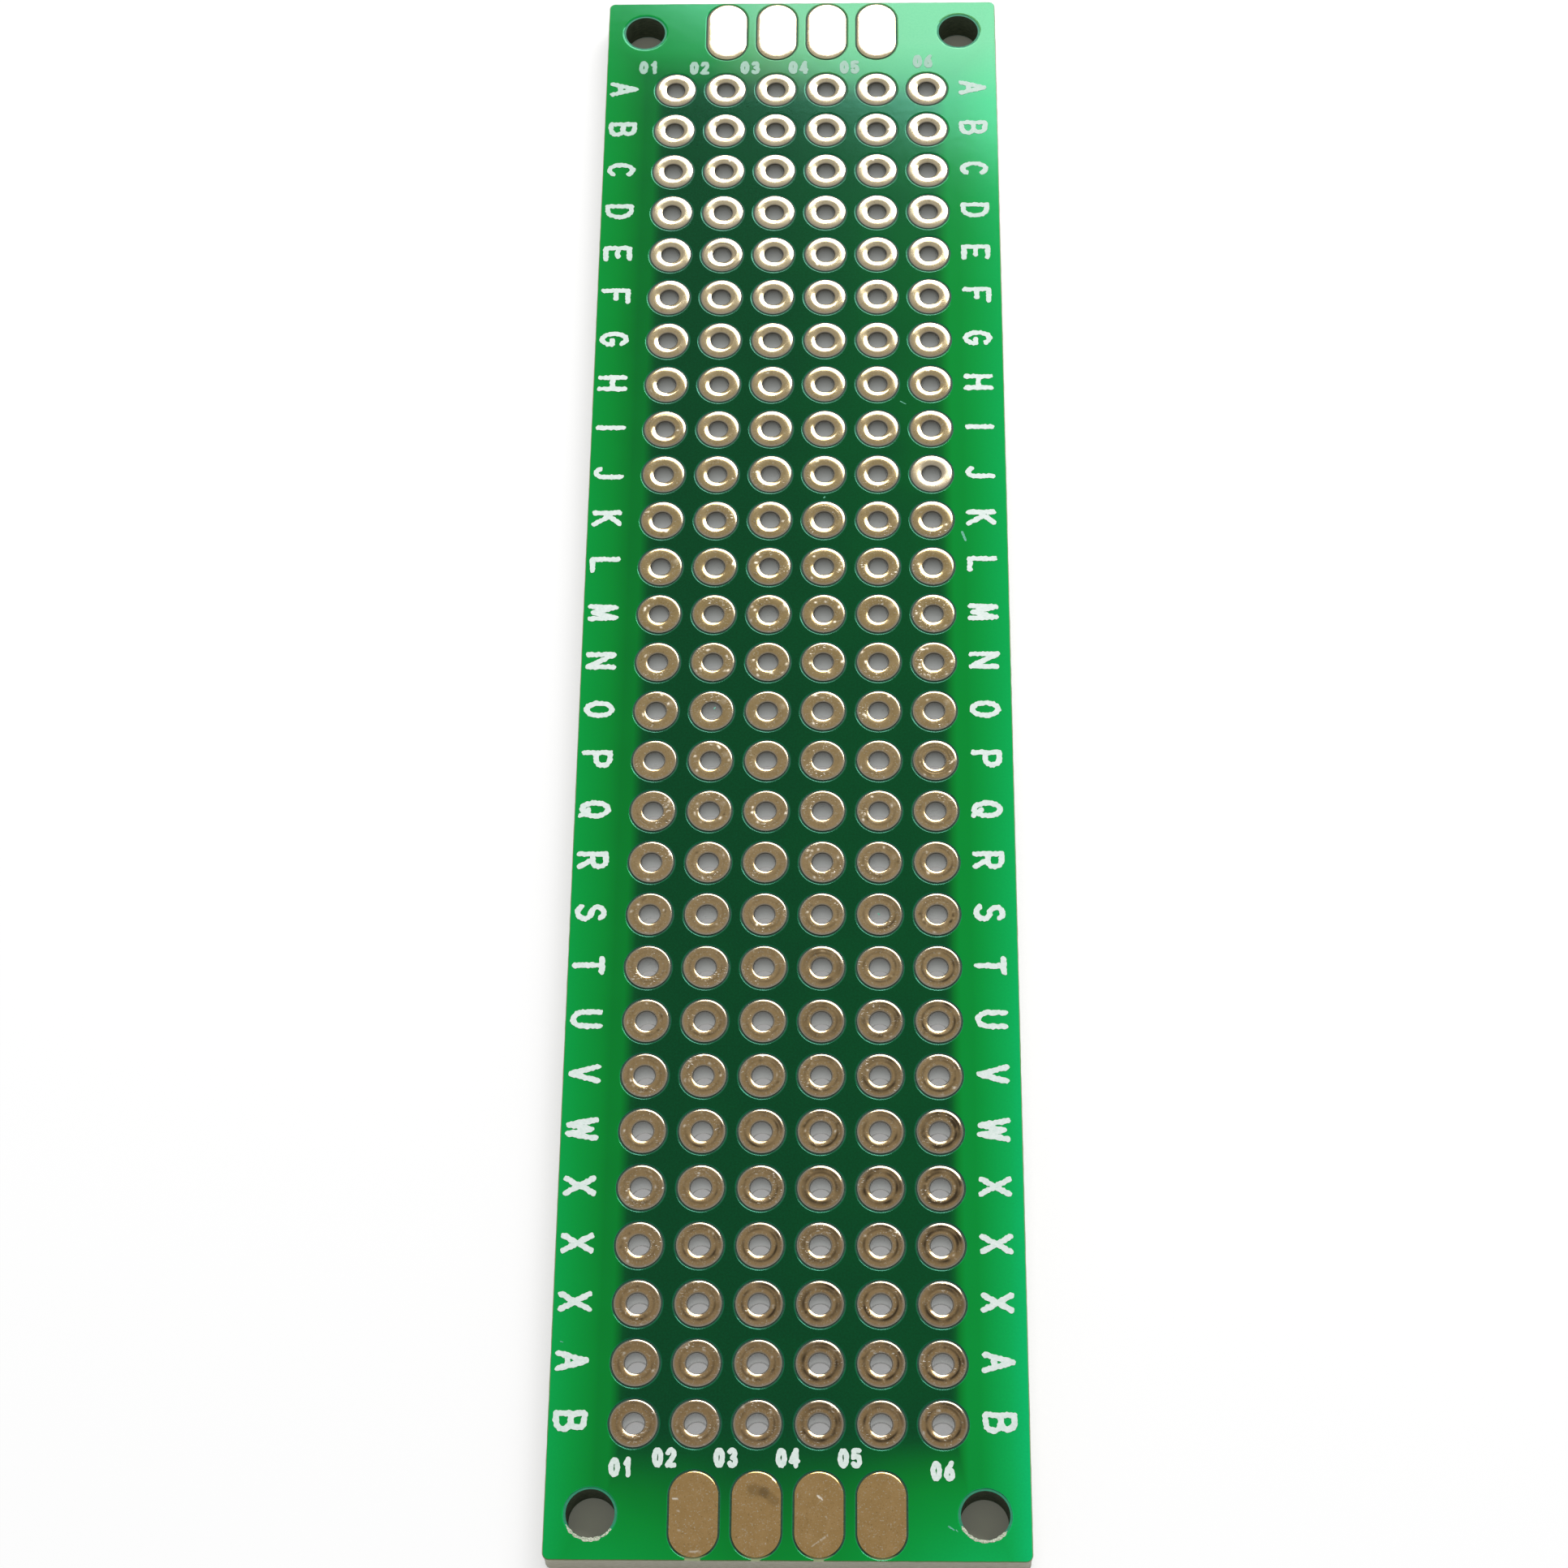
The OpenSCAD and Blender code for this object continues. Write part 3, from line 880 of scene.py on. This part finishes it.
def legend(material):
    """Row letters up both margins and column numbers at both ends, as one thin film of ink."""
    signs, faintness = [], []
    for sign, y in zip(ROW_SIGNS, ROW_Y):
        width = WIDE_LETTER_W if sign == "W" else LETTER_W
        for x in (LEFT_LETTERS_X, RIGHT_LETTERS_X):
            signs.append((sign, (x, y + LETTER_SHIFT), width, LETTER_H, INK_W, True))
            faintness.append(0.4 * ramp(y, 16.0, 36.0))
    for places, faint in ((NEAR_NUMBERS, 0.0), (FAR_NUMBERS, 0.65)):
        for number, (x, y) in enumerate(places, 1):
            for digit, shift in (("0", -DIGIT_SHIFT), (str(number), DIGIT_SHIFT)):
                signs.append((digit, (x + shift, y), DIGIT_W, DIGIT_H, DIGIT_INK_W, False))
                faintness.append(faint)
    face = CORE_TOP + MASK_T
    vertices, faces, faints = [], [], []
    for n, (sign, faint) in enumerate(zip(signs, faintness)):
        part = joined_film(sign_outlines(*sign, seed=n * 1.7), face - INK_SINK, face + INK_RISE)
        add_part(vertices, faces, *part)
        faints += [faint] * len(part[0])
    add_piece("legend", vertices, faces, material, attributes=[("faint", faints)])


# ---------------------------------------------------------------- chips and scuffs

# Scuffs of the mask, as (start, stop, half width)
SCUFFS = [
    ((6.5, -38.45), (6.72, -38.6), 0.03), ((6.8, -38.6), (6.86, -38.66), 0.02),
    ((-9.5, -30.85), (-9.4, -30.88), 0.018), ((7.75, 8.2), (7.9, 7.75), 0.05),
    ((4.9, 15.5), (5.15, 15.35), 0.02), ((1.25, 10.1), (1.3, 10.15), 0.03),
    ((-3.7, -1.15), (-3.66, -1.1), 0.03), ((3.75, -11.4), (3.8, -11.45), 0.03),
]
# How far chips and scuffs sink into what carries them, and how far they stand out of the mask
DAMAGE_SINK, DAMAGE_RISE = 0.002, 0.003
# Radius at which the chips lie round a corner hole, the angle in degrees where they are thickest, and how
# far they reach to each side of it
CHIP_RING_R = 1.06
CHIP_MIDDLE = 266
CHIP_REACH = 60


def chipped_ring(x, y):
    """Ragged strokes (start, stop, half width) along the near part of a corner hole's rim."""
    strokes = []
    start, half = None, 0.0
    for degrees in range(CHIP_MIDDLE - CHIP_REACH, CHIP_MIDDLE + CHIP_REACH, 3):
        a = math.radians(degrees)
        stop = (x + CHIP_RING_R * math.cos(a), y + CHIP_RING_R * math.sin(a))
        if start:
            strokes.append((start, stop, half))
        start = stop
        half = 0.065 + 0.05 * smooth_noise(*start, 4.0, 0.15)
        half -= 0.035 * abs(degrees - CHIP_MIDDLE) / CHIP_REACH
    return strokes


def stroke_film(name, strokes, low, seed, material):
    """One piece: a thin closed film of ragged strokes, joined to one shape, a little above the mask."""
    outlines = [capsule_points(start, stop, half, seed) for start, stop, half in strokes]
    vertices, faces = joined_film(outlines, low - DAMAGE_SINK, CORE_TOP + MASK_T + DAMAGE_RISE)
    add_piece(name, vertices, faces, material)


def chips_and_scuffs(chipped, scuffed):
    """Chipped glass round the near corner holes, and small scuffs on the mask."""
    rims = [stroke for x, y in CORNER_HOLES if y < 0 for stroke in chipped_ring(x, y)]
    stroke_film("chipped_rims", rims, CORE_TOP, 3.0, chipped)
    stroke_film("mask_scuffs", SCUFFS, CORE_TOP + MASK_T, 8.0, scuffed)


# ---------------------------------------------------------------- stage, light and camera

# Half the width of the floor in metres, and how far it lies under the board in millimetres
FLOOR_HALF = 1.5
FLOOR_GAP = 0.02


def floor():
    """Pale floor that glows to read as white and keeps the board's shadow, with a painted shadow under the
    board: it glows less there, and under the ends it is olive and barely glows.
    """
    mesh = bpy.data.meshes.new("floor")
    corners = [(-1, -1), (1, -1), (1, 1), (-1, 1)]
    mesh.from_pydata([(x * FLOOR_HALF, y * FLOOR_HALF, -FLOOR_GAP * MM) for x, y in corners],
                     [], [(0, 1, 2, 3)])
    s = Shader("floor")
    path = s.tree.nodes.new("ShaderNodeLightPath")
    seen = s.math("MAXIMUM", path.outputs["Is Camera Ray"],
                  s.math("MAXIMUM", path.outputs["Is Glossy Ray"], path.outputs["Is Transmission Ray"]))
    x = s.add("ShaderNodeSeparateXYZ", s.place)
    y = s.math("ABSOLUTE", x.node.outputs[1])
    # Painted shadow: under the board the floor glows less, and under its ends it is olive and barely glows.
    under = s.math("MULTIPLY", s.math("LESS_THAN", s.math("ABSOLUTE", x), BOARD_W / 2 - 0.1),
                   s.math("LESS_THAN", y, BOARD_L / 2 - 0.1))
    ends = s.math("MULTIPLY", under, s.math("GREATER_THAN", y, 36.5))
    s.surface(Base_Color=s.mix(ends, (0.55, 0.55, 0.55, 1), (0.50, 0.50, 0.36, 1)))
    s.surface(Roughness=0.9, Specular_IOR_Level=0.0, Emission_Color=(1, 1, 1, 1))
    dimmed = s.math("ADD", s.math("MULTIPLY", under, 0.2), s.math("MULTIPLY", ends, 0.26))
    glow = s.math("SUBTRACT", 0.5, dimmed)
    s.surface(Emission_Strength=s.math("MULTIPLY", seen, glow))
    mesh.materials.append(s.material)
    plane = bpy.data.objects.new("floor", mesh)
    bpy.context.scene.collection.objects.link(plane)


# The window's size and distance in metres, its turn in degrees, and its brightness
WINDOW_W, WINDOW_H = 0.38, 0.255
WINDOW_DISTANCE = 0.5
WINDOW_AZIMUTH, WINDOW_ELEVATION, WINDOW_ROLL = 14, 36.5, 14
WINDOW_RADIANCE = 8.0
# Brightness of the white room round the board
ROOM_STRENGTH = 0.45


def window_light():
    """A wide soft panel beyond the far end, raised to the right, so that the pads there mirror it."""
    azimuth, elevation = math.radians(WINDOW_AZIMUTH), math.radians(WINDOW_ELEVATION)
    lamp = bpy.data.lights.new("window", "AREA")
    lamp.shape = "RECTANGLE"
    lamp.size, lamp.size_y = WINDOW_W, WINDOW_H
    lamp.energy = WINDOW_RADIANCE * math.pi * WINDOW_W * WINDOW_H
    flat = math.cos(elevation)
    place = Vector((math.sin(azimuth) * flat, math.cos(azimuth) * flat, math.sin(elevation)))
    window = bpy.data.objects.new("window", lamp)
    window.location = place * WINDOW_DISTANCE
    roll = Quaternion((0, 0, 1), -math.radians(WINDOW_ROLL))
    window.rotation_euler = (place.to_track_quat("Z", "Y") @ roll).to_euler()
    bpy.context.scene.collection.objects.link(window)


def world_light():
    """Plain white light from all round."""
    world = bpy.data.worlds.new("room")
    world.use_nodes = True
    background = world.node_tree.nodes["Background"]
    background.inputs[0].default_value = (1, 1, 1, 1)
    background.inputs[1].default_value = ROOM_STRENGTH
    bpy.context.scene.world = world


# The camera's place from the middle of the pads' tops, its turns in degrees, and its lens in millimetres
CAMERA_PLACE = (2.896, -68.669, 127.463)
CAMERA_TURNS = (26.539, 1.2262, 0.5762)
CAMERA_LENS = 72.6


def camera():
    """The photograph's view: over the near end, looking along the board."""
    lens = bpy.data.cameras.new("camera")
    lens.lens, lens.sensor_width = CAMERA_LENS, 36.0
    lens.clip_start, lens.clip_end = 0.005, 10.0
    view = bpy.data.objects.new("camera", lens)
    view.location = (Vector(CAMERA_PLACE) + Vector((0, 0, PAD_TOP))) * MM
    view.rotation_euler = [math.radians(a) for a in CAMERA_TURNS]
    bpy.context.scene.collection.objects.link(view)
    bpy.context.scene.camera = view


# ---------------------------------------------------------------- the scene

def build():
    """The camera, the stage and the lights, and then the board's pieces."""
    camera()
    floor()
    window_light()
    world_light()
    bpy.context.scene.view_settings.view_transform = "Standard"
    mask, laminate, ink = solder_mask_material(), laminate_material(), ink_material()
    round_pads = pad_material("tinned_round_pads", (0.47, 0.315, 0.15), 1.0)
    long_pads = pad_material("tinned_long_pads", (0.60, 0.38, 0.15), 0.0)
    core_plate(laminate)
    mask_film("mask_top", "solder_mask_top", 1, CHIPS, 2.0, mask, 48, (0.35, 1.0, 1.3))
    mask_film("mask_bottom", "solder_mask_bottom", -1, [], 8.0, mask, 36, (1.0,))
    plated_rows(round_pads)
    edge_pad_group("long_pads_top_near", "edge_pads_top_near", -1, 1, long_pads, NEAR_WEAR, 1.0)
    edge_pad_group("long_pads_top_far", "edge_pads_top_far", 1, 1, long_pads, None, 31.0)
    edge_pad_group("long_pads_bottom_near", "edge_pads_bottom_near", -1, -1, long_pads, None, 61.0)
    edge_pad_group("long_pads_bottom_far", "edge_pads_bottom_far", 1, -1, long_pads, None, 91.0)
    legend(ink)
    chipped = damage_material("chipped_fibre", (0.20, 0.28, 0.16), (0.55, 0.60, 0.46), (0.85, 0.84, 0.70))
    scuffed = damage_material("scuffed_mask", (0.02, 0.25, 0.12), (0.10, 0.45, 0.30), (0.25, 0.62, 0.48))
    chips_and_scuffs(chipped, scuffed)


build()
